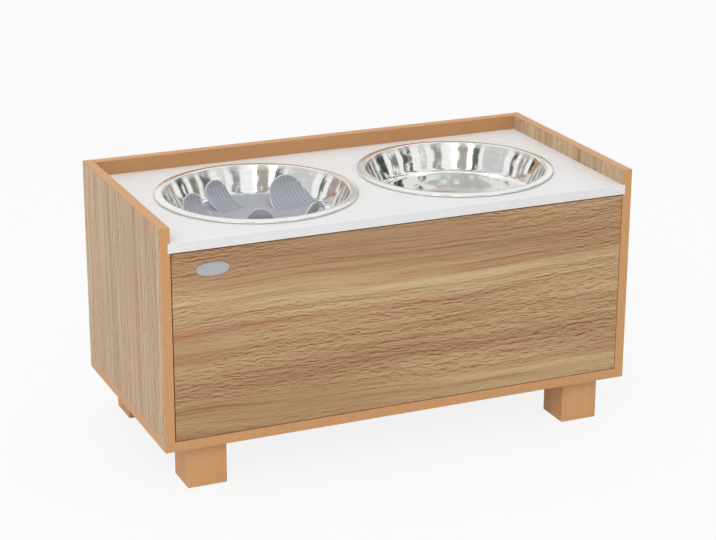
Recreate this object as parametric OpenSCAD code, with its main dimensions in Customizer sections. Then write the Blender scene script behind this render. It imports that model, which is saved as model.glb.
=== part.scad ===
// Raised feeding station: a panel box on four block feet, with two steel bowls
// let into its white top and a push-to-open drawer behind the front panel.
// Millimetres, +Z up. The front faces -Y and the origin lies on the floor
// under the middle of the box.

/* [Cabinet] */
// Width over the side panels
body_w = 600; // [560:5:760]
// Depth from the front face to the rear face
body_d = 296; // [290:1:380]
// Height of the box, from its underside to the rim of the sides
body_h = 269; // [250:1:350]
// Thickness of the wood-look panels
panel_t = 12; // [11:0.5:16]
// Thickness of the plain edge banding
band_t = 1; // [0.5:0.1:1.5]
// Corner radius of the banded edges
band_round = 0.8; // [0.3:0.1:1]
// Thickness of the white top board
board_t = 12; // [11:0.5:16]
// Height of the rim that stands above the top board
rail_h = 18.5; // [10:0.5:30]
// Depth of the grooves in the side panels that hold the top board
dado_d = 3; // [1:0.5:5]

/* [Feet] */
// Height of the block feet
foot_h = 54; // [40:1:80]
// Width and depth of a block foot
foot_w = 48; // [40:1:60]
// Distance from the side of the box to a foot
foot_in_x = 30; // [10:1:50]
// Distance from the front or rear of the box to a foot
foot_in_y = 12; // [4:1:30]
// Radius of the foot's upright edges
foot_round = 1.5; // [0.5:0.5:4]

/* [Bowls] */
// Diameter over the bowl's rolled rim
rim_d = 244; // [200:1:248]
// Width of the flat rim
rim_w = 11.5; // [10:0.5:16]
// Height of the inner lip above the top board
lip_rise = 3.5; // [3:0.1:6]
// Space between the two rims
rim_gap = 19; // [10:1:30]
// Depth of the bowl from its lip to its floor
bowl_depth = 34.5; // [30:0.5:60]
// Slope of the bowl's wall from upright, in degrees
wall_slope = 26; // [15:1:30]
// Radius of the bend between wall and floor
foot_bend = 8; // [5:0.5:12]
// Diameter of the raised middle of the floor
stand_d = 112; // [90:1:120]
// Height of the raised middle of the floor
stand_rise = 2; // [1:0.5:3]
// Sheet thickness of the bowls
steel_t = 0.9; // [0.6:0.1:1.2]
// Space round the bowl's wall in the top board's hole
hole_gap = 1.5; // [1:0.5:3]

/* [Slow-feeder insert] */
// Space between the insert's base and the bend of the bowl's floor
base_space = 11; // [8:1:20]
// Thickness of the base
base_t = 4; // [3.8:0.2:5]
// Thickness of a petal between its ribs
petal_t = 2.6; // [2:0.2:3.2]
// Height of a petal's root over the base's underside
petal_sink = 0.4; // [0.3:0.1:0.5]
// Distance between the ribs of a petal
rib_pitch = 5; // [4:0.5:8]
// Width of a rib
rib_w = 1.6; // [1:0.2:2.4]
// Height of a rib over the petal's inner face
rib_rise = 0.8; // [0.4:0.1:1.2]

/* [Drawer] */
// Gap at each side of the drawer front and below it
front_gap = 1; // [0.8:0.1:2]
// Gap between the drawer front and the top board
front_top_gap = 1.2; // [0.8:0.1:2]
// Depth of the drawer box behind its front
box_d = 236; // [220:1:236]
// Height of the drawer's sides
box_h = 178; // [120:1:190]
// Thickness of the drawer's sides and back
box_t = 12; // [11:0.5:14]
// Space below the drawer's sides
box_lift = 8; // [6:0.5:12]
// Thickness of the drawer's bottom
tray_t = 3; // [2.5:0.5:4]
// Depth of the grooves that hold the drawer's bottom
tray_groove = 5; // [3:0.5:6]

/* [Runners] */
// Length of a runner
runner_l = 240; // [225:5:245]
// Space between the drawer's sides and the cabinet
runner_space = 12.5; // [12.5:0.1:14]
// Sheet thickness of the runners
runner_t = 1.2; // [1:0.1:1.4]
// Diameter of the runner wheels
wheel_d = 17; // [16:0.5:18]
// Width of the runner wheels
wheel_w = 6; // [5:0.2:6.4]
// Diameter of the wheels' pins
pin_d = 5; // [4:0.5:6]
// Space between a wheel and the track it rolls on
wheel_gap = 0.15; // [0.1:0.05:0.3]
// Radial clearance of a wheel on its pin
pin_gap = 0.1; // [0.05:0.01:0.1]

/* [Push latch] */
// Inward push that releases the latch
latch_push = 2.5; // [2:0.1:3]
// Distance the released plunger pushes the drawer out
latch_throw = 20; // [15:1:22]
// Diameter of the plunger
plunger_d = 7; // [6:0.5:8]
// Height of the latch above the cabinet's floor
latch_z = 54; // [40:1:80]

/* [Hidden] */

$fn = 64;
// Overlap that keeps a cut from leaving a skin
cut = 1;
// Space round a fastener in its hole
hole_fit = 0.05;
// Space between flat faces of pieces that come apart
seat_gap = 0.3;

oak = [0.74, 0.6, 0.44];
banding = [0.82, 0.6, 0.42];
plain = [0.7, 0.52, 0.35];
white = [0.93, 0.93, 0.93];
steel = [0.78, 0.79, 0.8];
zinc = [0.6, 0.61, 0.63];
coated = [0.88, 0.87, 0.84];
grey = [0.6, 0.61, 0.64];
nylon = [0.9, 0.9, 0.88];
beech = [0.8, 0.65, 0.46];
hardboard = [0.55, 0.42, 0.3];

// Box: outer and inner faces
half_w = body_w / 2;
half_d = body_d / 2;
in_w = half_w - panel_t;
back_y = half_d - panel_t;
floor_z = foot_h + panel_t;
top_z = foot_h + body_h;
board_z = top_z - rail_h;
board_under = board_z - board_t;
board_half = in_w + dado_d;
// The middle of the top board, where the bowls lie
board_mid_y = (back_y - half_d) / 2;

// Bowls
rim_r = rim_d / 2;
bowl_x = (rim_d + rim_gap) / 2;
bead_r = 1.1;
lip_r = rim_r - rim_w;
lip_bend = 2.4;
bowl_floor = lip_rise - bowl_depth;
stand_r = stand_d / 2;
hole_r = lip_r + steel_t + hole_gap;

// Drawer
front_half = in_w - front_gap;
front_z0 = floor_z + front_gap;
front_z1 = board_under - front_top_gap;
front_back_y = -half_d + panel_t;
box_half = in_w - runner_space;
box_z0 = floor_z + box_lift;
box_z1 = box_z0 + box_h;
box_back_y = front_back_y + box_d;
tray_lift = 6;
tray_z0 = box_z0 + tray_lift;
tray_fit = 0.2;

// Runners: the cabinet track is a channel that holds the drawer's rear wheel,
// and the drawer's track rolls on the cabinet's front wheel
track_z0 = floor_z + 5;
track_in = track_z0 + runner_t;
track_roof = track_in + wheel_d + 4 * wheel_gap;
track_z1 = track_roof + runner_t;
track_lip = 8;
runner_y0 = front_back_y + 4;
roof_lip = track_lip - 1.5;
rail_gap = 2;
rail_under = track_z1 + rail_gap;
rivet_d = pin_d + 2.6;
rivet_t = 0.8;
wheel_side_gap = 0.3;
rivet_gap = 0.5;
wheel_x = in_w - runner_t - rivet_gap - rivet_t - wheel_side_gap - wheel_w / 2;
front_wheel_y = runner_y0 + 11;
front_wheel_z = rail_under - wheel_gap - wheel_d / 2;
rear_wheel_y = box_back_y - 12;
rear_wheel_z = track_in + wheel_gap + wheel_d / 2;
wheel_notch = 24;

// Push latch on the back panel
latch_mid_z = floor_z + latch_z;
latch_tube_d = plunger_d + 5;
latch_plate_t = 3;
latch_plate_w = 44;
latch_plate_h = 16;
strike_t = 1.2;
plunger_head_t = 2.6;
plunger_tip_y = box_back_y + strike_t + seat_gap;
latch_mouth_y = plunger_tip_y + plunger_head_t + latch_push + 0.5;
plunger_end_y = back_y - latch_push - 1.5;

// Fasteners
screw_d = 4;
screw_head_d = 8;
screw_head_h = 2.6;
screw_l = 40;
short_screw_d = 3.5;
short_screw_l = 14;
short_head_r = short_screw_d * screw_head_d / screw_d / 2;
cam_d = 12;
cam_h = 9.5;
cam_reach = 24;
cam_bolt_d = 5;
cam_bolt_grip = 7;
dowel_d = 6;
dowel_half = 12;
dowel_bite = 7;
nail_d = 2;
nail_l = 20;

// Places of fasteners along the panels
side_screw_y = [-0.36 * body_d, 0, 0.36 * body_d];
side_dowel_y = [-0.2 * body_d, 0.2 * body_d];
back_screw_x = [-0.33 * body_w, 0, 0.33 * body_w];
board_cam_y = [-0.4 * body_d, 0.36 * body_d];
back_cam_z = [floor_z + 0.2 * body_h, floor_z + 0.7 * body_h];
back_dowel_x = [-0.44 * body_w, 0, 0.44 * body_w];
box_screw_z = [box_z0 + 0.25 * box_h, box_z0 + 0.55 * box_h, box_z0 + 0.88 * box_h];
box_cam_z = [box_z0 + 0.3 * box_h, box_z0 + 0.8 * box_h];
runner_screw_y = [runner_y0 + 30, runner_y0 + runner_l / 2, runner_y0 + runner_l - 20];
nail_x = [-0.35 * body_w, -0.12 * body_w, 0.12 * body_w, 0.35 * body_w];

// General shapes

// A box between two corners
module block(a, b) {
    translate(a)
        cube([b[0] - a[0], b[1] - a[1], b[2] - a[2]]);
}

// A rectangle from the origin with its corners rounded
module round_rect(w, d, r) {
    translate([r, 0])
        square([w - 2 * r, d]);
    translate([0, r])
        square([w, d - 2 * r]);
    for (x = [r, w - r], y = [r, d - r])
        translate([x, y])
            circle(r);
}

// The end view of an edge band: from the origin along +X, thick along +Y,
// with its two outer corners rounded
module band_profile(w, t, r) {
    intersection() {
        round_rect(w, t + 2 * r, r);
        translate([0, 2 * r])
            square([w, t]);
    }
}

// A band on an upright edge: outer face towards -Y at y = 0
module upright_band(w, t, r, h) {
    translate([w, t, 0])
        rotate(180)
            translate([0, -2 * r])
                linear_extrude(h)
                    band_profile(w, t, r);
}

// A band on a level edge that runs along Y: outer face up at z = 0
module level_band_y(w, t, r, l) {
    translate([0, l, -t])
        rotate([90, 0, 0])
            translate([0, -2 * r, 0])
                linear_extrude(l)
                    band_profile(w, t, r);
}

// A band on a level edge that runs along X: outer face up at z = 0
module level_band_x(w, t, r, l) {
    translate([0, w, 0])
        rotate(-90)
            level_band_y(w, t, r, l);
}

// The outside of a countersunk screw: its head is flush at the origin and it
// points to -Z
module screw_body(d, l, grow = 0) {
    head_d = d * screw_head_d / screw_d;
    head_h = d * screw_head_h / screw_d;
    translate([0, 0, -l])
        cylinder(d = d + 2 * grow, h = l - head_h + cut / 2);
    translate([0, 0, -head_h])
        cylinder(d1 = d + 2 * grow, d2 = head_d + 2 * grow, h = head_h);
}

// A cross recess in a face at z = 0, cut towards -Z
module cross_recess(reach, depth) {
    for (turn = [0, 90])
        rotate(turn)
            translate([-reach / 2, -reach / 10, -depth])
                cube([reach, reach / 5, depth + cut]);
}

// A countersunk screw with a cross recess
module screw(d, l) {
    difference() {
        screw_body(d, l);
        cross_recess(d * 1.1, d * 0.4);
    }
}

// The hole for a screw, open at its head
module screw_hole(d, l) {
    screw_body(d, l + hole_fit, hole_fit);
    head_d = d * screw_head_d / screw_d;
    cylinder(d = head_d + 2 * hole_fit, h = cut);
}

// A cam: its face is flush at the origin and it reaches towards -Z
module cam() {
    difference() {
        translate([0, 0, -cam_h])
            cylinder(d = cam_d, h = cam_h);
        cross_recess(cam_d * 0.6, cam_h * 0.3);
    }
}

// The hole for a cam, open at its face
module cam_hole() {
    translate([0, 0, -cam_h - hole_fit])
        cylinder(d = cam_d + 2 * hole_fit, h = cam_h + hole_fit + cut);
}

// Places one child at every pair of an x list and a y list
module at_grid(xs, ys, z = 0) {
    for (x = xs, y = ys)
        translate([x, y, z])
            children();
}

// Mirrors what is drawn for the right side onto the left
module on_left() {
    mirror([1, 0, 0])
        children();
}

// Fastener places, drawn once as fasteners and once as holes

// Screws up through the bottom panel into the sides and the back
module carcass_screw_places() {
    for (s = [-1, 1])
        at_grid([s * (half_w - panel_t / 2)], side_screw_y, foot_h)
            rotate([180, 0, 0])
                children();
    at_grid(back_screw_x, [half_d - panel_t / 2], foot_h)
        rotate([180, 0, 0])
            children();
}

// Screws down through the bottom panel into the feet
module foot_screw_places() {
    mid_x = half_w - foot_in_x - foot_w / 2;
    mid_y = half_d - foot_in_y - foot_w / 2;
    for (sx = [-1, 1], sy = [-1, 1], d = [-0.2, 0.2])
        translate([sx * mid_x, sy * mid_y + d * foot_w, floor_z])
            children();
}

// Dowels: up into the sides, and from the top board into the back panel
module dowel_places(grow = 0) {
    for (s = [-1, 1], y = side_dowel_y)
        translate([s * (half_w - panel_t / 2), y, floor_z - dowel_bite])
            cylinder(d = dowel_d + 2 * grow, h = dowel_bite + dowel_half);
    for (x = back_dowel_x)
        translate([x, back_y + dowel_bite, board_z - board_t / 2])
            rotate([90, 0, 0])
                cylinder(d = dowel_d + 2 * grow, h = dowel_bite + dowel_half);
}

// Cams under the top board and on the inner face of the back panel
module cam_places() {
    for (s = [-1, 1], y = board_cam_y)
        translate([s * (board_half - cam_reach), y, board_under])
            rotate([180, 0, 0])
                children();
    for (s = [-1, 1], z = back_cam_z)
        translate([s * (in_w - cam_reach), back_y, z])
            rotate([90, 0, 0])
                children();
}

// Bolts from the side panels into the cams
module cam_bolt_places(grow = 0) {
    reach = cam_reach - cam_d / 2;
    for (s = [-1, 1], y = board_cam_y)
        translate([s * (board_half - reach), y, board_under + board_t / 2])
            rotate([0, s * 90, 0])
                cylinder(d = cam_bolt_d + 2 * grow, h = reach + cam_bolt_grip + grow);
    for (s = [-1, 1], z = back_cam_z)
        translate([s * (in_w - reach), half_d - panel_t / 2, z])
            rotate([0, s * 90, 0])
                cylinder(d = cam_bolt_d + 2 * grow, h = reach + cam_bolt_grip + grow);
}

// Flush screws through the cabinet's tracks into the side panels
module cabinet_runner_screw_places() {
    for (s = [-1, 1], y = runner_screw_y)
        translate([s * (in_w - runner_t), y, track_in + wheel_d / 2])
            rotate([0, -s * 90, 0])
                children();
}

// Screws that hold the latch to the back panel
module latch_screw_places() {
    for (s = [-1, 1])
        translate([s * (latch_plate_w / 2 - 7), back_y - latch_plate_t, latch_mid_z])
            rotate([90, 0, 0])
                children();
}

// Cams inside the drawer's sides that hold the front
module drawer_cam_places() {
    for (s = [-1, 1], z = box_cam_z)
        translate([s * (box_half - box_t), front_back_y + cam_reach, z])
            rotate([0, -s * 90, 0])
                children();
}

// Bolts from the drawer's front into those cams
module drawer_cam_bolt_places(grow = 0) {
    reach = cam_reach - cam_d / 2;
    for (s = [-1, 1], z = box_cam_z)
        translate([s * (box_half - box_t / 2), front_back_y + reach, z])
            rotate([90, 0, 0])
                cylinder(d = cam_bolt_d + 2 * grow, h = reach + cam_bolt_grip + grow);
}

// Screws through the drawer's sides into the ends of its back
module box_screw_places() {
    for (s = [-1, 1], z = box_screw_z)
        translate([s * box_half, box_back_y - box_t / 2, z])
            rotate([0, s * 90, 0])
                children();
}

// Nails up through the drawer's bottom into its back
module nail_places(grow = 0) {
    at_grid(nail_x, [box_back_y - box_t / 2], tray_z0)
        cylinder(d = nail_d + 2 * grow, h = nail_l);
}

// Screws up through the drawer's tracks into its sides
module drawer_runner_screw_places() {
    for (s = [-1, 1], y = [runner_y0 + 30, box_back_y - 30])
        translate([s * (box_half - short_head_r - 0.5), y, box_z0 - runner_t])
            rotate([180, 0, 0])
                children();
}

// Cabinet

// The right side panel without its bands
module side_panel() {
    difference() {
        block([in_w, -half_d + band_t, floor_z], [half_w, half_d - band_t, top_z - band_t]);
        dado();
        carcass_screw_places()
            screw_hole(screw_d, screw_l);
        dowel_places(hole_fit);
        cam_bolt_places(hole_fit);
        cabinet_runner_screw_places()
            screw_hole(short_screw_d, runner_t + panel_t - 3);
    }
}

// The groove in the right side panel that holds the top board's end
module dado() {
    block([in_w - cut, -half_d - cut, board_under], [board_half, back_y, board_z]);
}

// Bands on the front, top and rear edges of the right side panel
module side_band() {
    difference() {
        union() {
            translate([in_w, -half_d, floor_z])
                upright_band(panel_t, band_t, band_round, top_z - band_t - floor_z);
            translate([half_w, half_d, floor_z])
                rotate(180)
                    upright_band(panel_t, band_t, band_round, top_z - band_t - floor_z);
            translate([in_w, -half_d, top_z])
                level_band_y(panel_t, band_t, band_round, body_d);
        }
        dado();
    }
}

module right_side_panel() {
    color(oak)
        side_panel();
}

module left_side_panel() {
    color(oak)
        on_left()
            side_panel();
}

module right_side_band() {
    color(banding)
        side_band();
}

module left_side_band() {
    color(banding)
        on_left()
            side_band();
}

module back_panel() {
    color(plain)
        difference() {
            block([-in_w, back_y, floor_z], [in_w, half_d, top_z - band_t]);
            carcass_screw_places()
                screw_hole(screw_d, screw_l);
            dowel_places(hole_fit);
            cam_places()
                cam_hole();
            cam_bolt_places(hole_fit);
            latch_screw_places()
                screw_hole(short_screw_d, short_screw_l - 3);
        }
}

module back_band() {
    color(banding)
        translate([-in_w, back_y, top_z])
            level_band_x(panel_t, band_t, band_round, 2 * in_w);
}

module bottom_panel() {
    edge = band_t;
    color(oak)
        difference() {
            block([-half_w + edge, -half_d + edge, foot_h], [half_w - edge, half_d - edge, floor_z]);
            carcass_screw_places()
                screw_hole(screw_d, screw_l);
            foot_screw_places()
                screw_hole(screw_d, screw_l);
            dowel_places(hole_fit);
        }
}

// The four bands round the bottom panel, mitred into one frame
module bottom_band() {
    color(banding)
        translate([-half_w, -half_d, foot_h])
            difference() {
                linear_extrude(panel_t)
                    round_rect(body_w, body_d, band_round);
                block([band_t, band_t, -cut], [body_w - band_t, body_d - band_t, panel_t + cut]);
            }
}

module top_board() {
    color(white)
        difference() {
            block([-board_half, -half_d + band_t, board_under], [board_half, back_y, board_z]);
            for (s = [-1, 1])
                translate([s * bowl_x, board_mid_y, board_under - cut])
                    cylinder(r = hole_r, h = board_t + 2 * cut, $fn = 128);
            dowel_places(hole_fit);
            cam_places()
                cam_hole();
            cam_bolt_places(hole_fit);
        }
}

module top_board_band() {
    color(white)
        translate([-board_half, -half_d, board_under])
            rotate([90, 0, 90])
                linear_extrude(2 * board_half)
                    intersection() {
                        round_rect(2 * band_t + 2 * band_round, board_t, band_round);
                        square([band_t, board_t]);
                    }
}

// A block foot, placed by the signs of its corner
module foot(sx, sy) {
    mid_x = half_w - foot_in_x - foot_w / 2;
    mid_y = half_d - foot_in_y - foot_w / 2;
    color(banding)
        difference() {
            translate([sx * mid_x - foot_w / 2, sy * mid_y - foot_w / 2, 0])
                linear_extrude(foot_h)
                    round_rect(foot_w, foot_w, foot_round);
            foot_screw_places()
                screw_hole(screw_d, screw_l);
        }
}

module foot_front_left() {
    foot(-1, -1);
}

module foot_front_right() {
    foot(1, -1);
}

module foot_rear_left() {
    foot(-1, 1);
}

module foot_rear_right() {
    foot(1, 1);
}

module foot_screws() {
    color(zinc)
        foot_screw_places()
            screw(screw_d, screw_l);
}

module carcass_screws() {
    color(zinc)
        carcass_screw_places()
            screw(screw_d, screw_l);
}

module cam_locks() {
    color(zinc)
        cam_places()
            cam();
}

module cam_bolts() {
    color(zinc)
        cam_bolt_places();
}

module dowels() {
    color(beech)
        dowel_places();
}

// Runners

// The cabinet's right track: a channel open towards the drawer, with its roof
// cut away over the front wheel
module cabinet_runner() {
    y1 = runner_y0 + runner_l;
    web_x = in_w - runner_t;
    color(coated)
        difference() {
            union() {
                block([web_x, runner_y0, track_z0], [in_w, y1, track_z1]);
                block([web_x - track_lip, runner_y0, track_z0], [web_x, y1, track_in]);
                block([web_x - roof_lip, runner_y0 + wheel_notch, track_roof], [web_x, y1, track_z1]);
            }
            cabinet_runner_screw_places()
                screw_hole(short_screw_d, short_screw_l);
            translate([web_x - cut, front_wheel_y, front_wheel_z])
                rotate([0, 90, 0])
                    cylinder(d = pin_d + 2 * hole_fit, h = runner_t + 2 * cut);
            block([web_x - track_lip - cut, runner_y0 - cut, track_z0 - cut],
                [web_x, runner_y0 + 3, track_z1 + cut]);
        }
}

module right_cabinet_runner() {
    cabinet_runner();
}

module left_cabinet_runner() {
    on_left()
        cabinet_runner();
}

module cabinet_runner_screws() {
    color(zinc)
        cabinet_runner_screw_places()
            screw(short_screw_d, runner_t + panel_t - 3);
}

// A round bar along X between two places
module bar_x(x0, x1, d, y, z) {
    translate([min(x0, x1), y, z])
        rotate([0, 90, 0])
            cylinder(d = d, h = abs(x1 - x0));
}

// A riveted wheel pin: through the track's web, with a shoulder up to the
// wheel, and with a head beyond the wheel
module wheel_pin(web_x, dir, y, z) {
    reach = wheel_w / 2 + wheel_side_gap;
    far = wheel_x + dir * reach;
    bar_x(web_x, far, pin_d, y, z);
    bar_x(web_x + dir * runner_t, wheel_x - dir * reach, rivet_d, y, z);
    bar_x(far, far + dir * rivet_t, rivet_d, y, z);
}

// Pins of the front wheels, held by the cabinet's tracks
module cabinet_wheel_pins() {
    color(zinc) {
        wheel_pin(in_w, -1, front_wheel_y, front_wheel_z);
        on_left()
            wheel_pin(in_w, -1, front_wheel_y, front_wheel_z);
    }
}

// Pins of the rear wheels, held by the drawer's tracks
module drawer_wheel_pins() {
    color(zinc) {
        wheel_pin(box_half, 1, rear_wheel_y, rear_wheel_z);
        on_left()
            wheel_pin(box_half, 1, rear_wheel_y, rear_wheel_z);
    }
}

// A runner wheel with its bore and a dished outer face
module wheel(y, z) {
    color(nylon)
        translate([wheel_x, y, z])
            rotate([0, 90, 0])
                rotate_extrude()
                    difference() {
                        translate([pin_d / 2 + pin_gap, -wheel_w / 2])
                            round_rect(wheel_d / 2 - pin_d / 2 - pin_gap, wheel_w, 0.6);
                        for (s = [-1, 1])
                            translate([pin_d / 2 + 2.6, s * wheel_w / 2])
                                translate([0, -0.7])
                                    round_rect(2.2, 1.4, 0.5);
                    }
}

module right_front_wheel() {
    wheel(front_wheel_y, front_wheel_z);
}

module left_front_wheel() {
    on_left()
        wheel(front_wheel_y, front_wheel_z);
}

module right_rear_wheel() {
    wheel(rear_wheel_y, rear_wheel_z);
}

module left_rear_wheel() {
    on_left()
        wheel(rear_wheel_y, rear_wheel_z);
}

// The drawer's right track: wraps under the side and turns out over the wheels
module drawer_runner() {
    web_x = box_half + runner_t;
    y0 = runner_y0;
    y1 = box_back_y;
    rail_top = rail_under + runner_t;
    color(coated)
        difference() {
            union() {
                block([box_half, y0, box_z0 - runner_t], [web_x, y1, rail_top]);
                block([box_half - box_t, y0, box_z0 - runner_t], [box_half, y1, box_z0]);
                block([web_x, y0, rail_under], [web_x + track_lip, y1, rail_top]);
            }
            drawer_runner_screw_places()
                screw_hole(short_screw_d, short_screw_l);
            translate([box_half - cut, rear_wheel_y, rear_wheel_z])
                rotate([0, 90, 0])
                    cylinder(d = pin_d + 2 * hole_fit, h = runner_t + 2 * cut);
        }
}

module right_drawer_runner() {
    drawer_runner();
}

module left_drawer_runner() {
    on_left()
        drawer_runner();
}

module drawer_runner_screws() {
    color(zinc)
        drawer_runner_screw_places()
            screw(short_screw_d, short_screw_l);
}

// Push latch

module push_latch_housing() {
    color(coated)
        difference() {
            union() {
                block([-latch_plate_w / 2, back_y - latch_plate_t, latch_mid_z - latch_plate_h / 2],
                    [latch_plate_w / 2, back_y, latch_mid_z + latch_plate_h / 2]);
                translate([0, back_y, latch_mid_z])
                    rotate([90, 0, 0])
                        cylinder(d = latch_tube_d, h = back_y - latch_mouth_y);
            }
            translate([0, back_y - 1, latch_mid_z])
                rotate([90, 0, 0])
                    cylinder(d = plunger_d + 2 * pin_gap, h = back_y - 1 - latch_mouth_y + cut);
            latch_screw_places()
                screw_hole(short_screw_d, short_screw_l);
        }
}

module push_latch_screws() {
    color(zinc)
        latch_screw_places()
            screw(short_screw_d, short_screw_l - 3);
}

module push_latch_plunger() {
    color(zinc)
        translate([0, plunger_tip_y, latch_mid_z])
            rotate([-90, 0, 0]) {
                cylinder(d = latch_tube_d - 1, h = plunger_head_t);
                cylinder(d = plunger_d, h = plunger_end_y - plunger_tip_y);
            }
}

module latch_strike() {
    color(zinc)
        translate([0, box_back_y, latch_mid_z])
            rotate([-90, 0, 0])
                cylinder(d = latch_tube_d + 4, h = strike_t);
}

// Drawer

module drawer_front() {
    color(oak)
        difference() {
            block([-front_half + band_t, -half_d, front_z0 + band_t],
                [front_half - band_t, front_back_y, front_z1 - band_t]);
            tray(tray_fit);
            drawer_cam_bolt_places(hole_fit);
        }
}

// The four bands round the drawer front, in its own wood look and mitred
// into one frame
module drawer_front_band() {
    h = front_z1 - front_z0;
    color(oak)
        translate([-front_half, front_back_y, front_z0])
            rotate([90, 0, 0])
                difference() {
                    linear_extrude(panel_t)
                        round_rect(2 * front_half, h, band_round);
                    block([band_t, band_t, -cut], [2 * front_half - band_t, h - band_t, panel_t + cut]);
                }
}

// The right side of the drawer's box
module drawer_side() {
    color(white)
        difference() {
            block([box_half - box_t, front_back_y, box_z0], [box_half, box_back_y, box_z1]);
            tray(tray_fit);
            drawer_cam_places()
                cam_hole();
            drawer_cam_bolt_places(hole_fit);
            box_screw_places()
                screw_hole(screw_d, screw_l);
            drawer_runner_screw_places()
                screw_hole(short_screw_d, short_screw_l);
        }
}

module drawer_right_side() {
    drawer_side();
}

module drawer_left_side() {
    on_left()
        drawer_side();
}

module drawer_back() {
    color(white)
        difference() {
            block([-box_half + box_t, box_back_y - box_t, tray_z0 + tray_t],
                [box_half - box_t, box_back_y, box_z1]);
            box_screw_places()
                screw_hole(screw_d, screw_l);
            nail_places(hole_fit);
        }
}

// The drawer's bottom, let into the sides and the front
module tray(grow = 0) {
    reach_x = box_half - box_t + tray_groove - tray_fit;
    block([-reach_x - grow, front_back_y - tray_groove + tray_fit - grow, tray_z0 - grow],
        [reach_x + grow, box_back_y + 4 * grow, tray_z0 + tray_t + (grow > 0 ? tray_fit : 0)]);
}

module drawer_bottom() {
    color(hardboard)
        difference() {
            tray();
            nail_places(hole_fit);
        }
}

module drawer_cam_locks() {
    color(zinc)
        drawer_cam_places()
            cam();
}

module drawer_cam_bolts() {
    color(zinc)
        drawer_cam_bolt_places();
}

module drawer_box_screws() {
    color(zinc)
        box_screw_places()
            screw(screw_d, screw_l);
}

module drawer_bottom_nails() {
    color(zinc)
        nail_places();
}

// Bowls

// Points along an arc, for outlines in radius and height
function arc(c, r, a0, a1, n = 8) =
    [for (i = [0:n]) c + r * [cos(a0 + (a1 - a0) * i / n), sin(a0 + (a1 - a0) * i / n)]];

// The unit normal of a path at point i, to the left of its direction
function normal(p, i) =
    let (a = p[max(i - 1, 0)], b = p[min(i + 1, len(p) - 1)], d = (b - a) / norm(b - a))
    [-d[1], d[0]];

// A path moved sideways by t
function shifted(p, t) = [for (i = [0:len(p) - 1]) p[i] + t * normal(p, i)];

// The bowl's upper surface in section, from the rim to the middle: crowned
// flange, bent lip, sloping wall, bend, floor and raised middle
crown_rise = lip_rise - 2 * bead_r - seat_gap;
lip_start = [lip_r + lip_bend, lip_rise - lip_bend];
wall_top = lip_start + lip_bend * [cos(180 + wall_slope), -sin(180 + wall_slope)] * 1;
bend_z = bowl_floor + foot_bend;
wall_foot_z = bend_z - foot_bend * sin(wall_slope);
wall_foot_r = wall_top[0] - (wall_top[1] - wall_foot_z) * tan(wall_slope);
bend_c = [wall_foot_r - foot_bend * cos(wall_slope), bend_z];
step_w = 5;
bowl_line = concat(
    [for (i = [0:5])
        [rim_r - bead_r - (rim_w - bead_r - lip_bend) * i / 6,
            seat_gap + 2 * bead_r + crown_rise * (1 - pow(1 - i / 6, 2))]],
    arc(lip_start, lip_bend, 90, 180 - wall_slope, 6),
    arc(bend_c, foot_bend, -wall_slope, -90, 8),
    [for (i = [0:6])
        [stand_r + step_w / 2 - step_w * i / 6,
            bowl_floor + stand_rise * (1 - cos(180 * i / 6)) / 2]],
    [[0, bowl_floor + stand_rise]]);

// A pressed steel bowl with a rolled bead round its rim
module bowl() {
    under = shifted(bowl_line, steel_t);
    last = len(under) - 1;
    color(steel)
        translate([0, board_mid_y, board_z])
            rotate_extrude($fn = 128) {
                polygon(concat(
                    bowl_line,
                    [[0, bowl_floor + stand_rise - steel_t]],
                    [for (i = [last - 1:-1:0]) under[i]]));
                translate([rim_r - bead_r, seat_gap + bead_r])
                    circle(bead_r, $fn = 24);
            }
}

module right_bowl() {
    translate([bowl_x, 0, 0])
        bowl();
}

module left_bowl() {
    translate([-bowl_x, 0, 0])
        bowl();
}

// Slow-feeder insert: a base disc with ribbed petals that bend up from it

// Each petal: the direction of its top, the space from there to the foot of
// the bowl's wall, the way it bends, its run from root to top, the height of
// its top above the top board, and its widths at the foot and at the top
petals = [
    [164, 18, 104, 30, 3, 40, 26],
    [122, 30, 112, 46, 5, 32, 34],
    [40, 31, 98, 46, 6, 66, 48],
    [-53, 16, -53, 40, 0, 38, 30],
    [-107, 32, -107, 34, 0, 38, 30]];
base_z = bowl_floor + stand_rise + seat_gap;
base_r = bend_c[0] - base_space;
petal_bends = 6;

// A petal's underside from its root outwards: level at first, upright at its top
function petal_line(run, h) =
    [for (i = [0:petal_bends])
        let (a = 90 * i / petal_bends)
        [run * sin(a), petal_sink + (h - petal_sink) * (1 - cos(a))]];

// A strip of a width w that follows a line, between two distances from it
module bent_strip(line, near, far, w) {
    inner = shifted(line, far);
    translate([0, w / 2, 0])
        rotate([90, 0, 0])
            linear_extrude(w)
                polygon(concat(shifted(line, near), [for (i = [len(line) - 1:-1:0]) inner[i]]));
}

// The point where a line from p touches a circle, to its left or right
function touch(p, c, r, side) =
    let (d = p - c, turn = atan2(d[1], d[0]) + side * acos(r / norm(d)))
    c + r * [cos(turn), sin(turn)];

// The outline of a petal seen along its bend: round top, wide foot
module leaf(foot, top, h) {
    r = top / 2;
    c = [0, h - r];
    left = [-foot / 2, -1];
    right = [foot / 2, -1];
    translate(c)
        circle(r);
    polygon([left, right, touch(right, c, r, 1), touch(left, c, r, -1)]);
}

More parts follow.
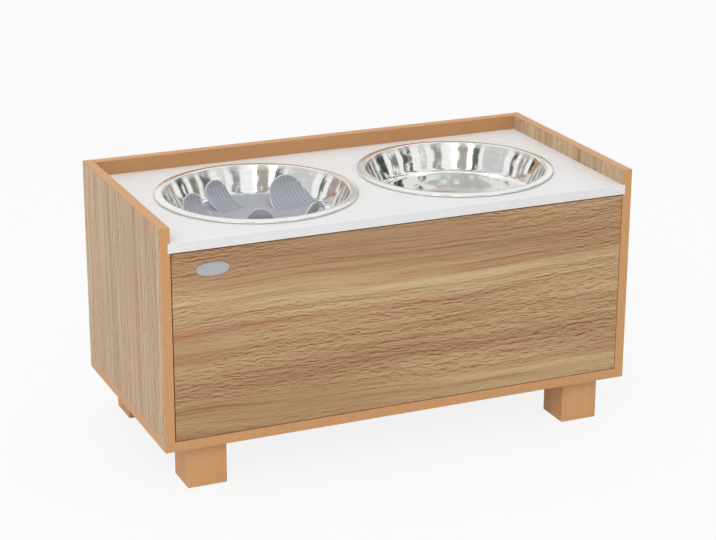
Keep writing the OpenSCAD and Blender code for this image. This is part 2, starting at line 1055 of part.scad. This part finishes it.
// One petal with ribs along its inner side
module petal(top_dir, space, turn, run, top_z, foot, top) {
    h = top_z - base_z;
    line = petal_line(run, h);
    w = max(foot, top);
    ribs = floor(w / rib_pitch / 2);
    far = wall_foot_r - space;
    translate(far * [cos(top_dir), sin(top_dir), 0])
        rotate(turn)
            translate([-run, 0, 0])
                intersection() {
                    union() {
                        bent_strip(line, 0, petal_t, w);
                        for (i = [-ribs:ribs])
                            translate([0, i * rib_pitch, 0])
                                bent_strip(line, 0, petal_t + rib_rise, rib_w);
                    }
                    rotate([90, 0, 90])
                        translate([0, 0, -1])
                            linear_extrude(run + 10)
                                leaf(foot, top, h);
                }
}

module slow_feeder_insert() {
    color(grey)
        translate([-bowl_x, board_mid_y, board_z + base_z]) {
            cylinder(r = base_r, h = base_t);
            for (p = petals)
                petal(p[0], p[1], p[2], p[3], p[4], p[5], p[6]);
        }
}

left_side_panel();
left_side_band();
right_side_panel();
right_side_band();
back_panel();
back_band();
bottom_panel();
bottom_band();
top_board();
top_board_band();
foot_front_left();
foot_front_right();
foot_rear_left();
foot_rear_right();
foot_screws();
carcass_screws();
cam_locks();
cam_bolts();
dowels();
left_cabinet_runner();
right_cabinet_runner();
cabinet_runner_screws();
cabinet_wheel_pins();
left_front_wheel();
right_front_wheel();
push_latch_housing();
push_latch_screws();
push_latch_plunger();
drawer_front();
drawer_front_band();
drawer_left_side();
drawer_right_side();
drawer_back();
drawer_bottom();
drawer_cam_locks();
drawer_cam_bolts();
drawer_box_screws();
drawer_bottom_nails();
left_drawer_runner();
right_drawer_runner();
drawer_runner_screws();
drawer_wheel_pins();
left_rear_wheel();
right_rear_wheel();
latch_strike();
left_bowl();
right_bowl();
slow_feeder_insert();
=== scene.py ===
"""Materials, two small added pieces, light and camera for a raised feeding
station: a wood-look box on block feet, with two steel bowls in its white top
and a drawer behind its front panel.

Everything is in metres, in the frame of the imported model: X right, Y back,
Z up, with the origin on the floor under the middle of the box.
"""
import math

import bmesh
import bpy
from mathutils import Matrix, Vector


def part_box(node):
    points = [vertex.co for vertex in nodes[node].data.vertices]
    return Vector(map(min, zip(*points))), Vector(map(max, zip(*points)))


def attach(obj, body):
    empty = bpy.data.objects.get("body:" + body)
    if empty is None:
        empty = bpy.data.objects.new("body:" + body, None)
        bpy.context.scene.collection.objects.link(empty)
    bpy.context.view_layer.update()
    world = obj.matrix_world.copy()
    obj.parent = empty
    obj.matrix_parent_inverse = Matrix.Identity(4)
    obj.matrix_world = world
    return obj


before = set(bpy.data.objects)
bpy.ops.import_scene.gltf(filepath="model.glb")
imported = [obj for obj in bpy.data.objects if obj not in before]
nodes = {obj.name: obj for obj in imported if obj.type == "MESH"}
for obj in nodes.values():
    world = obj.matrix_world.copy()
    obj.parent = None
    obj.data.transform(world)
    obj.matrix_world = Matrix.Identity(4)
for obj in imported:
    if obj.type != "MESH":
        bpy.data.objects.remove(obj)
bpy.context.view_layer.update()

# Middles of the bowls in X and Y, and the front face of the drawer
LEFT_BOWL = (-0.1315, -0.006)
RIGHT_BOWL = (0.1315, -0.006)
FRONT_Y = -0.148

WHITE = (1, 1, 1, 1)


# Building blocks

def linear(r, g, b):
    """A colour from 0 to 255, as it looks on screen, in linear values."""
    def one(v):
        v /= 255
        return v / 12.92 if v <= 0.04045 else ((v + 0.055) / 1.055) ** 2.4
    return one(r), one(g), one(b), 1


def scaled(colour, factor):
    """A colour made darker or lighter."""
    return (*(min(1, c * factor) for c in colour[:3]), 1)


def add_object(name, data):
    """A new object in the scene."""
    thing = bpy.data.objects.new(name, data)
    bpy.context.scene.collection.objects.link(thing)
    return thing


class Graph:
    """Builds the nodes of one material or world."""

    def __init__(self, owner, empty=True):
        owner.use_nodes = True
        self.tree = owner.node_tree
        if empty:
            self.tree.nodes.clear()

    def feed(self, socket, value):
        """Sets a socket to a number or colour, or links another one to it."""
        if isinstance(value, bpy.types.NodeSocket):
            self.tree.links.new(value, socket)
        else:
            socket.default_value = value

    def feed_named(self, node, values):
        """Feeds sockets by name, with _ for each space in it."""
        for key, value in values.items():
            self.feed(node.inputs[key.replace("_", " ")], value)

    def node(self, kind, **values):
        node = self.tree.nodes.new(kind)
        self.feed_named(node, values)
        return node

    def place(self):
        return self.node("ShaderNodeTexCoord").outputs["Object"]

    def noise(self, vector, detail=2.0, rough=0.5, warp=0.0, scale=1.0):
        return self.node("ShaderNodeTexNoise", Vector=vector, Scale=scale, Detail=detail,
                         Roughness=rough, Distortion=warp).outputs["Fac"]

    def ramp(self, value, stops):
        """Colours over a value, from pairs of a position and a colour."""
        node = self.node("ShaderNodeValToRGB", Fac=value)
        band = node.color_ramp
        while len(band.elements) < len(stops):
            band.elements.new(0.5)
        for element, (at, colour) in zip(band.elements, stops):
            element.position = at
            element.color = colour
        return node.outputs["Color"]

    def span(self, value, low, high, to_low, to_high):
        """A value between low and high, brought to another range."""
        return self.node("ShaderNodeMapRange", Value=value, From_Min=low, From_Max=high,
                         To_Min=to_low, To_Max=to_high).outputs["Result"]

    def math(self, kind, *values):
        node = self.node("ShaderNodeMath")
        node.operation = kind
        for socket, value in zip(node.inputs, values):
            self.feed(socket, value)
        return node.outputs[0]

    def plus(self, a, b):
        return self.math("ADD", a, b)

    def times(self, a, b):
        return self.math("MULTIPLY", a, b)

    def split(self, vector):
        return self.node("ShaderNodeSeparateXYZ", Vector=vector).outputs

    def join(self, x, y, z):
        return self.node("ShaderNodeCombineXYZ", X=x, Y=y, Z=z).outputs[0]

    def mix(self, how, amount, a, b):
        """Colour b laid on colour a. The numbers are the sockets of Factor, A and B."""
        node = self.node("ShaderNodeMix")
        node.data_type = "RGBA"
        node.blend_type = how
        for index, value in ((0, amount), (6, a), (7, b)):
            self.feed(node.inputs[index], value)
        return node.outputs[2]

    def blend(self, share, first, second):
        """One shader turning into another."""
        node = self.node("ShaderNodeMixShader")
        for socket, value in zip(node.inputs, (share, first.outputs[0], second.outputs[0])):
            self.feed(socket, value)
        return node.outputs[0]

    def seen_directly(self):
        """1 for camera, glossy and transmission rays, and 0 for the light they cast."""
        rays = self.node("ShaderNodeLightPath").outputs
        seen = self.math("MAXIMUM", rays["Is Camera Ray"], rays["Is Glossy Ray"])
        return self.math("MAXIMUM", seen, rays["Is Transmission Ray"])


class Shade(Graph):
    """Builds one procedural material of the object."""

    # the usual range of a noise
    NOISE_LOW, NOISE_HIGH = 0.3, 0.7

    def __init__(self, name):
        self.mat = bpy.data.materials.new(name)
        super().__init__(self.mat, empty=False)
        self.bsdf = self.tree.nodes["Principled BSDF"]
        self.here = self.place()

    def set(self, **values):
        self.feed_named(self.bsdf, values)

    def mapped(self, scale, move=(0, 0, 0)):
        """The place on the object, scaled and then moved."""
        return self.node("ShaderNodeMapping", Vector=self.here, Location=move,
                         Scale=scale).outputs[0]

    def cloud(self, scale, detail, rough=0.5):
        """Noise of even cells, with scale as the number of cells in a metre."""
        return self.noise(self.mapped((scale, scale, scale)), detail, rough)

    def shades(self, noise, low, high):
        """Two colours over the usual range of a noise."""
        return self.ramp(noise, [(self.NOISE_LOW, low), (self.NOISE_HIGH, high)])

    def spread(self, noise, low, high):
        """Two numbers over the usual range of a noise."""
        return self.span(noise, self.NOISE_LOW, self.NOISE_HIGH, low, high)

    def bump(self, height, strength, distance):
        node = self.node("ShaderNodeBump", Strength=strength, Distance=distance, Height=height)
        self.feed(self.bsdf.inputs["Normal"], node.outputs[0])


# Camera and light

PICTURE_WIDTH = 716     # in pixels
FOCAL_LENGTH = 2053     # in pixels
SENSOR_WIDTH = 36       # in millimetres


def camera_axes(yaw, pitch, roll):
    """Right, up and backward directions of a camera, from angles in degrees."""
    yaw, pitch, roll = (math.radians(a) for a in (yaw, pitch, roll))
    ahead = Vector((math.sin(yaw) * math.cos(pitch), math.cos(yaw) * math.cos(pitch),
                    -math.sin(pitch)))
    right = Vector((math.cos(yaw), -math.sin(yaw), 0))
    down = ahead.cross(right)
    side = right * math.cos(roll) + down * math.sin(roll)
    low = down * math.cos(roll) - right * math.sin(roll)
    return side, -low, -ahead


def add_camera(place, yaw, pitch, roll):
    data = bpy.data.cameras.new("camera")
    data.sensor_width = SENSOR_WIDTH
    data.lens = SENSOR_WIDTH * FOCAL_LENGTH / PICTURE_WIDTH
    data.clip_start = 0.05
    data.clip_end = 60
    cam = add_object("camera", data)
    turn = Matrix(camera_axes(yaw, pitch, roll)).transposed().to_4x4()
    cam.matrix_world = Matrix.Translation(place) @ turn
    bpy.context.scene.camera = cam


def add_area(name, place, aim, size, watts):
    data = bpy.data.lights.new(name, "AREA")
    data.shape = "RECTANGLE"
    data.size, data.size_y = size
    data.energy = watts
    lamp = add_object(name, data)
    lamp.location = place
    lamp.rotation_euler = (Vector(aim) - Vector(place)).to_track_quat("-Z", "Y").to_euler()


def add_world(fill_strength):
    """An even white fill, which looks plain white where it is seen or mirrored."""
    world = bpy.data.worlds.new("studio")
    bpy.context.scene.world = world
    g = Graph(world)
    fill = g.node("ShaderNodeBackground", Color=WHITE, Strength=fill_strength)
    plain = g.node("ShaderNodeBackground", Color=WHITE, Strength=1.0)
    g.node("ShaderNodeOutputWorld", Surface=g.blend(g.seen_directly(), fill, plain))


def add_quad(name, corners, mat):
    mesh = bpy.data.meshes.new(name)
    mesh.from_pydata(corners, [], [(0, 1, 2, 3)])
    mesh.materials.append(mat)
    return add_object(name, mesh)


def add_floor(reach, whiteness):
    """A pale floor, which looks white by the share given and else shows its shadows."""
    mat = bpy.data.materials.new("floor")
    g = Graph(mat)
    matt = g.node("ShaderNodeBsdfDiffuse", Color=(0.8, 0.8, 0.8, 1))
    glow = g.node("ShaderNodeEmission", Strength=1.0)
    share = g.times(g.seen_directly(), whiteness)
    g.node("ShaderNodeOutputMaterial", Surface=g.blend(share, matt, glow))
    floor = add_quad("floor", [(-reach, -reach, 0), (reach, -reach, 0),
                               (reach, reach, 0), (-reach, reach, 0)], mat)


CARD_AIM = Vector((0, 0, 0.3))
# White patches on a card: cells in a metre, and the noise from which they
# start and at which they are plain white
PATCH_SCALE = 4.6
PATCH_START = 0.53
PATCH_FULL = 0.66


def add_card(name, turn, low, high, width, colour, far=2.4):
    """A studio card with white patches, which only shiny surfaces see.

    turn is its direction round the object, low and high are the elevations of
    its edges and width is how much of the horizon it covers, all in degrees.
    far is its distance in metres.
    """
    corners = []
    for side, lift in ((-1, low), (1, low), (1, high), (-1, high)):
        a, e = math.radians(turn + side * width / 2), math.radians(lift)
        ray = Vector((math.cos(a) * math.cos(e), math.sin(a) * math.cos(e), math.sin(e)))
        corners.append(CARD_AIM + far * ray)
    mat = bpy.data.materials.new(name)
    g = Graph(mat)
    patches = g.noise(g.place(), detail=3, scale=PATCH_SCALE)
    pattern = g.ramp(patches, [(PATCH_START, (*colour, 1)), (PATCH_FULL, WHITE)])
    glow = g.node("ShaderNodeEmission", Color=pattern)
    g.node("ShaderNodeOutputMaterial", Surface=glow.outputs[0])
    card = add_quad(name, corners, mat)
    card.visible_camera = False
    card.visible_diffuse = False
    card.visible_transmission = False
    card.visible_volume_scatter = False
    card.visible_shadow = False


# Cards round the object: direction, elevations of the lower and upper edge,
# width, colour and, for the two slats before a wider card, distance
cards = [
    (-83, 4, 62, 14, (0.33, 0.33, 0.32)),
    (-124, 4, 62, 20, (0.36, 0.32, 0.28)),
    (-146, 22, 62, 12, (0.10, 0.11, 0.10)),
    (-178, 3, 60, 38, (0.66, 0.66, 0.66)),
    (148, 3, 55, 7, (0.08, 0.09, 0.08)),
    (130, 3, 50, 14, (0.42, 0.36, 0.36)),
    (112, 3, 40, 8, (0.06, 0.07, 0.06)),
    (-104, 4, 24, 9, (0.62, 0.61, 0.58)),
    (-62, 3, 40, 10, (0.70, 0.69, 0.66)),
    (-37, 3, 60, 15, (0.10, 0.11, 0.08)),
    (-16, 3, 30, 12, (0.24, 0.23, 0.18)),
    (6, 3, 50, 16, (0.05, 0.06, 0.05)),
    (30, 3, 40, 8, (0.30, 0.29, 0.27)),
    (66, 11, 24, 24, (0.58, 0.53, 0.47)),
    (64.2, 17.1, 22, 1.3, (0.24, 0.27, 0.26), 2.2),
    (70.5, 17.1, 22, 1.3, (0.24, 0.27, 0.26), 2.2)]
# and a grey ring overhead
cards += [(turn, 62, 88, 60, (0.58, 0.58, 0.57)) for turn in range(0, 360, 60)]


# Materials

# Wood-look foil: how far the grain wanders and its dashes wave to either side,
# and the width of a dash's flank
WANDER = 0.022
WAVE = 0.0026
FLANK = 0.0009
# the cells of its dashes
DASH = {"by_run": 76, "by_cross": 410, "seed": 5.5, "detail": 1}
# and what is multiplied in for its darker parts, or screened over its lit ones: on the dashes'
# flanks these are painted shade and painted highlight
NARROW_BANDS = linear(222, 206, 190)
LINES = linear(203, 176, 150)
FLANK_PAINTED_SHADE = linear(201, 169, 139)
FLANK_PAINTED_HIGHLIGHT = linear(122, 108, 82)
PORES = linear(170, 138, 108)


def oak(name, along, across, move, tones, blush, dashes, depth):
    """Wood-look foil: soft bands, long thin lines, and zones of short wavy dashes.

    along and across are the axes of the grain, dashes is the share of the
    dashes outside their zones, and depth is the strength of the lines.
    """
    s = Shade(name)
    axes = s.split(s.mapped((1, 1, 1), move))
    run = axes[along]
    # the third axis comes in too, so that the grain also runs along the edges
    cross = s.plus(axes[across], axes[3 - along - across])

    def grain(by_run, by_cross, seed, detail=2, rough=0.5, source=cross):
        """Noise, with by_run cells in a metre along the grain and by_cross across it."""
        return s.noise(s.join(s.times(run, by_run), s.times(source, by_cross), seed),
                       detail, rough)

    # the grain wanders slowly along the panel
    wander = grain(by_run=2.4, by_cross=6, seed=0.3)
    bent = s.plus(cross, s.span(wander, 0, 1, -WANDER, WANDER))
    # soft bands of colour, some narrow, with a blush here and there
    bands = grain(by_run=1.3, by_cross=21, seed=0.7, detail=3, rough=0.55, source=bent)
    colour = s.ramp(bands, list(zip((0.3, 0.44, 0.56, 0.7), tones)))
    narrow = grain(by_run=1.8, by_cross=105, seed=4.2, source=bent)
    share = s.span(narrow, 0.42, 0.68, 0, 0.5 * depth)
    colour = s.mix("MULTIPLY", share, colour, NARROW_BANDS)
    warm = grain(by_run=2.2, by_cross=36, seed=5.2, source=bent)
    colour = s.mix("MIX", s.span(warm, 0.5, 0.72, 0, 0.75), colour, blush)
    # long thin lines
    line = grain(by_run=5, by_cross=430, seed=1.4, rough=0.6, source=bent)
    colour = s.mix("MULTIPLY", s.span(line, 0.5, 0.28, 0, 0.75 * depth), colour, LINES)
    # zones of short wavy dashes, each with painted highlight on one flank and painted shade on
    # the other
    wave = grain(by_run=66, by_cross=90, seed=2.1)
    wavy = s.plus(bent, s.span(wave, 0, 1, -WAVE, WAVE))
    dash = grain(**DASH, source=wavy)
    flank = s.math("SUBTRACT", dash, grain(**DASH, source=s.plus(wavy, FLANK)))
    zone = s.span(grain(by_run=2, by_cross=12, seed=8.6), 0.38, 0.5, dashes, 1)
    # painted shade and painted highlight, as if the dashes were lit from one side
    painted_shade = s.times(zone, s.span(flank, 0.02, 0.17, 0, 0.95 * depth))
    painted_highlight = s.times(zone, s.span(flank, -0.02, -0.17, 0, 0.75 * depth))
    colour = s.mix("MULTIPLY", painted_shade, colour, FLANK_PAINTED_SHADE)
    colour = s.mix("SCREEN", painted_highlight, colour, FLANK_PAINTED_HIGHLIGHT)
    # pores
    pore = grain(by_run=120, by_cross=1600, seed=3.3, source=wavy)
    colour = s.mix("MULTIPLY", s.span(pore, 0.24, 0.42, 0.3, 0), colour, PORES)
    s.set(Base_Color=colour, Roughness=s.spread(line, 0.6, 0.48), Specular_IOR_Level=0.3)
    relief = s.plus(s.times(dash, zone), s.times(pore, 0.3))
    s.bump(relief, strength=0.22, distance=0.0003)
    return s.mat


def plain_laminate(name, colour, vary, rough):
    """Single-coloured foil with a faint mottle and a fine emboss."""
    s = Shade(name)
    mottle = s.cloud(180, detail=4, rough=0.6)
    fine = s.cloud(900, detail=2)
    s.set(Base_Color=s.shades(mottle, scaled(colour, 1 - vary), scaled(colour, 1 + vary)),
          Roughness=s.spread(fine, rough - 0.04, rough + 0.04), Specular_IOR_Level=0.4)
    s.bump(fine, strength=0.25, distance=0.00008)
    return s.mat


# Polished bowls: the radius beyond which the flange is more satin, and the
# foot and height of the slightly bellied wall
LIP_RADIUS = 0.109
WALL_FOOT_Z = 0.278
WALL_HEIGHT = 0.0286


def polished_steel(name, centre):
    """Pressed and polished sheet, with the faint rings of the polishing wheel."""
    s = Shade(name)
    x, y, z = s.split(s.mapped((1, 1, 1), (-centre[0], -centre[1], 0)))
    radius = s.math("SQRT", s.plus(s.times(x, x), s.times(y, y)))
    rings = s.noise(s.join(s.times(radius, 700), s.times(z, 500), 0.0), detail=3, rough=0.6)
    smear = s.cloud(14, detail=2)
    uneven = s.cloud(45, detail=1)
    satin = s.span(radius, LIP_RADIUS - 0.001, LIP_RADIUS + 0.001, 0, 0.1)
    s.set(Base_Color=s.shades(rings, linear(232, 232, 230), linear(243, 243, 241)),
          Roughness=s.plus(satin, s.spread(smear, 0.06, 0.11)), Metallic=1.0)
    height = s.math("SUBTRACT", z, WALL_FOOT_Z)
    belly = s.math("SINE", s.times(height, 2 * math.pi / WALL_HEIGHT))
    relief = s.plus(s.times(rings, 0.02), s.plus(uneven, s.times(belly, 2.2)))
    s.bump(relief, strength=0.5, distance=0.00016)
    return s.mat


def metal(name, colour, rough, scale=(700, 700, 700)):
    """Plated or brushed metal. A small scale along one axis draws its grain out."""
    s = Shade(name)
    grain = s.noise(s.mapped(scale), detail=3, rough=0.6)
    s.set(Base_Color=s.shades(grain, scaled(colour, 0.86), colour),
          Roughness=s.spread(grain, rough - 0.06, rough + 0.08), Metallic=1.0)
    s.bump(grain, strength=0.08, distance=0.00005)
    return s.mat


def plastic(name, colour, rough):
    """Moulded plastic or paint, with soft clouds and a fine texture."""
    s = Shade(name)
    mottle = s.cloud(40, detail=4, rough=0.6)
    fine = s.cloud(1400, detail=2)
    s.set(Base_Color=s.shades(mottle, scaled(colour, 0.95), scaled(colour, 1.05)),
          Roughness=s.spread(fine, rough - 0.04, rough + 0.05), Specular_IOR_Level=0.45)
    s.bump(fine, strength=0.15, distance=0.00006)
    return s.mat


def timber(name, colour, along, rough=0.6):
    """Plain lacquered wood with a faint straight grain along one axis."""
    s = Shade(name)
    # cells in a metre, ten times as long as wide
    scale = [60, 60, 60]
    scale[along] = 6
    grain = s.noise(s.mapped(scale), detail=4, rough=0.6, warp=0.4)
    s.set(Base_Color=s.shades(grain, scaled(colour, 0.88), colour),
          Roughness=s.spread(grain, rough + 0.05, rough - 0.05))
    s.bump(grain, strength=0.12, distance=0.0002)
    return s.mat


side_tones = [linear(184, 153, 121), linear(199, 170, 138), linear(210, 184, 151),
              linear(220, 197, 163)]
front_tones = [linear(175, 137, 101), linear(188, 153, 114), linear(198, 166, 126),
               linear(210, 184, 142)]
side_blush = linear(203, 166, 137)
front_blush = linear(186, 139, 107)
X, Y, Z = range(3)

oak_side = oak("oak_upright", Z, Y, (0, 0, 0), side_tones, side_blush,
               dashes=0.1, depth=1.0)
oak_side_right = oak("oak_upright_right", Z, Y, (0, 0.7, 0.4), side_tones, side_blush,
                     dashes=0.2, depth=1.0)
oak_front = oak("oak_level", X, Z, (0, 0, 0), front_tones, front_blush,
                dashes=0.25, depth=1.0)
oak_bottom = oak("oak_bottom", X, Y, (0.4, 0.9, 0), front_tones, front_blush,
                 dashes=0.25, depth=0.9)
back_foil = plain_laminate("plain_laminate", linear(192, 141, 94), vary=0.04, rough=0.5)
band = plain_laminate("edge_band", linear(208, 155, 104), vary=0.03, rough=0.45)
white_foil = plain_laminate("white_laminate", linear(236, 236, 236), vary=0.01, rough=0.4)
feet = timber("foot_wood", linear(220, 165, 112), Z)
beech = timber("beech", linear(206, 172, 128), X)
hardboard = timber("hardboard", linear(150, 116, 84), X, rough=0.55)
zinc = metal("zinc_steel", linear(190, 192, 196), rough=0.35)
coated = plastic("coated_steel", linear(228, 226, 218), rough=0.42)
latch = plastic("latch_plastic", linear(208, 208, 206), rough=0.45)
nylon = plastic("nylon", linear(236, 234, 226), rough=0.35)
insert_grey = plastic("grey_plastic", linear(168, 171, 178), rough=0.5)
steel_left = polished_steel("polished_steel_left", LEFT_BOWL)
steel_right = polished_steel("polished_steel_right", RIGHT_BOWL)

# Nodes that aren't named here are zinc-plated steel
finishes = {
    "left_side_panel": oak_side, "right_side_panel": oak_side_right,
    "drawer_front": oak_front, "drawer_front_band": oak_front, "bottom_panel": oak_bottom,
    "back_panel": back_foil,
    "left_side_band": band, "right_side_band": band, "back_band": band, "bottom_band": band,
    "top_board": white_foil, "top_board_band": white_foil,
    "drawer_left_side": white_foil, "drawer_right_side": white_foil,
    "drawer_back": white_foil, "drawer_bottom": hardboard, "dowels": beech,
    "foot_front_left": feet, "foot_front_right": feet,
    "foot_rear_left": feet, "foot_rear_right": feet,
    "left_cabinet_runner": coated, "right_cabinet_runner": coated,
    "left_drawer_runner": coated, "right_drawer_runner": coated,
    "left_front_wheel": nylon, "right_front_wheel": nylon,
    "left_rear_wheel": nylon, "right_rear_wheel": nylon,
    "push_latch_housing": latch,
    "left_bowl": steel_left, "right_bowl": steel_right, "slow_feeder_insert": insert_grey,
}

for name, node in nodes.items():
    for slot in node.material_slots:
        slot.material = finishes.get(name, zinc)


# Added pieces

def add_piece(name, bm, mat):
    """A smooth new piece from a finished mesh."""
    bmesh.ops.recalc_face_normals(bm, faces=bm.faces)
    mesh = bpy.data.meshes.new(name)
    bm.to_mesh(mesh)
    bm.free()
    for face in mesh.polygons:
        face.use_smooth = True
    mesh.materials.append(mat)
    return add_object(name, mesh)


def bridge(bm, rows):
    """Faces between closed rings of points that follow each other."""
    for a, b in zip(rows, rows[1:]):
        for i in range(len(a)):
            j = (i + 1) % len(a)
            bm.faces.new((a[i], a[j], b[j], b[i]))


# Blank badge plate: rings from its foot to near its middle, each as a share of
# the outline and of the thickness, and the rise of the middle itself
BADGE_RINGS = ((1.0, 0.0), (1.0, 0.45), (0.965, 0.8), (0.9, 0.95), (0.6, 1.0), (0.3, 1.04))
BADGE_CROWN = 1.05
BADGE_POINTS = 72
# an outline slightly fuller than an ellipse, whose power is 1
BADGE_POWER = 0.9


def badge_plate(centre, width, height, thick):
    """Blank oval plate on the drawer's front, slightly domed."""
    def fuller(share):
        return math.copysign(abs(share) ** BADGE_POWER, share)

    bm = bmesh.new()
    rows = []
    for grow, rise in BADGE_RINGS:
        row = []
        for i in range(BADGE_POINTS):
            a = 2 * math.pi * i / BADGE_POINTS
            x = fuller(math.cos(a)) * width / 2 * grow
            z = fuller(math.sin(a)) * height / 2 * grow
            row.append(bm.verts.new((centre[0] + x, centre[1] - thick * rise, centre[2] + z)))
        rows.append(row)
    bridge(bm, rows)
    crown = bm.verts.new((centre[0], centre[1] - thick * BADGE_CROWN, centre[2]))
    for i in range(BADGE_POINTS):
        bm.faces.new((rows[-1][i], rows[-1][(i + 1) % BADGE_POINTS], crown))
    bm.faces.new(rows[0][::-1])
    brushed = metal("badge_metal", linear(188, 189, 192), rough=0.3, scale=(50, 900, 900))
    plate = add_piece("badge_plate", bm, brushed)
    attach(plate, "drawer")


badge_plate((-0.2386, FRONT_Y, 0.269), width=0.040, height=0.0165, thick=0.0012)


# Raised rims round the insert's petals, in a paler plastic than the insert: the paleness is a
# painted highlight along the petals' edges. As in the model, in millimetres: the foot of the
# bowl's wall from its middle, the insert's underside from the top board, a petal's root above
# it, and the number of bends in a petal
WALL_FOOT = 96.765
BASE_Z = -28.7
PETAL_SINK = 0.4
PETAL_BENDS = 6
# Each petal: the direction of its top, the space from there to the foot of the
# wall, the direction of its bend, its run, the height of its top above the top
# board, and its widths at foot and top
petals = [
    (164, 18, 104, 30, 3, 40, 26),
    (122, 30, 112, 46, 5, 32, 34),
    (40, 31, 98, 46, 6, 66, 48),
    (-53, 16, -53, 40, 0, 38, 30),
    (-107, 32, -107, 34, 0, 38, 30)]
# The rim's middle line: above the petal's underside, inside its outline, and
# its ends above the insert's underside, all in millimetres
RIM_LIFT = 1.5
RIM_INSET = 0.7
RIM_START = 2.4
# and its radius in metres
RIM_RADIUS = 0.0012


def touch_point(p, centre, radius):
    """The point where a line from p touches a circle, on its right-hand side."""
    away = (p - centre).to_2d()
    turn = math.atan2(away.y, away.x) + math.acos(radius / away.length)
    return centre + radius * Vector((math.cos(turn), math.sin(turn)))


def petal_outline(foot, top, high, flank_steps=16, arc_steps=32):
    """Points along a rim, seen along the petal's bend, from one foot to the other."""
    radius = top / 2
    centre = Vector((0, high - radius))
    # the outline's feet are 1 mm below the insert's underside
    start = Vector((foot / 2 - RIM_INSET, -1))
    edge = touch_point(start, centre, radius - RIM_INSET)
    turn = math.atan2(edge.y - centre.y, edge.x)
    flank = [start.lerp(edge, i / flank_steps) for i in range(flank_steps)]
    arc = []
    for i in range(arc_steps + 1):
        a = turn + (math.pi - 2 * turn) * i / arc_steps
        arc.append(centre + (radius - RIM_INSET) * Vector((math.cos(a), math.sin(a))))
    return flank + arc + [Vector((-p.x, p.y)) for p in reversed(flank)]


def middle_line(run, high):
    """The rim's middle line in a section along the petal's bend, from its root."""
    line = []
    for i in range(PETAL_BENDS + 1):
        a = math.pi / 2 * i / PETAL_BENDS
        line.append(Vector((run * math.sin(a),
                            PETAL_SINK + (high - PETAL_SINK) * (1 - math.cos(a)))))
    lifted = []
    for i, spot in enumerate(line):
        step = (line[min(i + 1, PETAL_BENDS)] - line[max(i - 1, 0)]).normalized()
        lifted.append(spot + RIM_LIFT * Vector((-step.y, step.x)))
    return lifted


def rim_path(petal, low, centre):
    """The middle line of one petal's rim, in metres."""
    top_turn, space, turn, run, top_z, foot, top = petal
    high = top_z - BASE_Z
    mids = middle_line(run, high)
    reach = WALL_FOOT - space
    a, b = math.radians(top_turn), math.radians(turn)
    path = []
    for spot in petal_outline(foot, top, high):
        if spot.y < RIM_START:
            continue
        # how far the bend has come at this height
        k = 0
        while k < len(mids) - 2 and mids[k + 1].y < spot.y:
            k += 1
        share = (spot.y - mids[k].y) / (mids[k + 1].y - mids[k].y)
        x = mids[k].x + min(share, 1) * (mids[k + 1].x - mids[k].x) - run
        path.append(Vector((
            centre[0] + (reach * math.cos(a) + x * math.cos(b) - spot.x * math.sin(b)) / 1000,
            centre[1] + (reach * math.sin(a) + x * math.sin(b) + spot.x * math.cos(b)) / 1000,
            low + spot.y / 1000)))
    return path


def tube(bm, path, radius, count=10):
    """A closed tube along a path."""
    rows = []
    side = None
    for i, spot in enumerate(path):
        ahead = (path[min(i + 1, len(path) - 1)] - path[max(i - 1, 0)]).normalized()
        if side is None:
            side = ahead.orthogonal().normalized()
        side = (side - ahead * side.dot(ahead)).normalized()
        across = ahead.cross(side)
        row = []
        for j in range(count):
            a = 2 * math.pi * j / count
            row.append(bm.verts.new(
                spot + radius * (math.cos(a) * side + math.sin(a) * across)))
        rows.append(row)
    bridge(bm, rows)
    bm.faces.new(rows[0][::-1])
    bm.faces.new(rows[-1])


def petal_rims():
    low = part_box("slow_feeder_insert")[0][2]
    bm = bmesh.new()
    for petal in petals:
        tube(bm, rim_path(petal, low, LEFT_BOWL), RIM_RADIUS)
    # a paler grey than the insert's, as painted highlight along the petals' edges
    rim_highlight = plastic("rim_plastic_painted_highlight", linear(206, 208, 213), rough=0.4)
    rims = add_piece("petal_rims", bm, rim_highlight)
    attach(rims, "feeder_insert")


petal_rims()


# Scene

add_camera((-0.962, -2.198, 1.016), yaw=23.71, pitch=19.04, roll=-0.2)
add_world(fill_strength=0.7)
add_floor(reach=30, whiteness=0.86)
add_area("key", place=(-1.6, -2.2, 2.6), aim=(0, 0, 0.2), size=(1.6, 1.6), watts=33)
add_area("top", place=(0.3, 0.5, 2.6), aim=(0, 0, 0.3), size=(1.8, 1.8), watts=8)
add_area("low", place=(-2.3, -1.1, 0.35), aim=(0, 0, 0.1), size=(1.2, 0.5), watts=3.5)
for i, card in enumerate(cards):
    add_card(f"card_{i}", *card)
bpy.context.scene.view_settings.view_transform = "Standard"
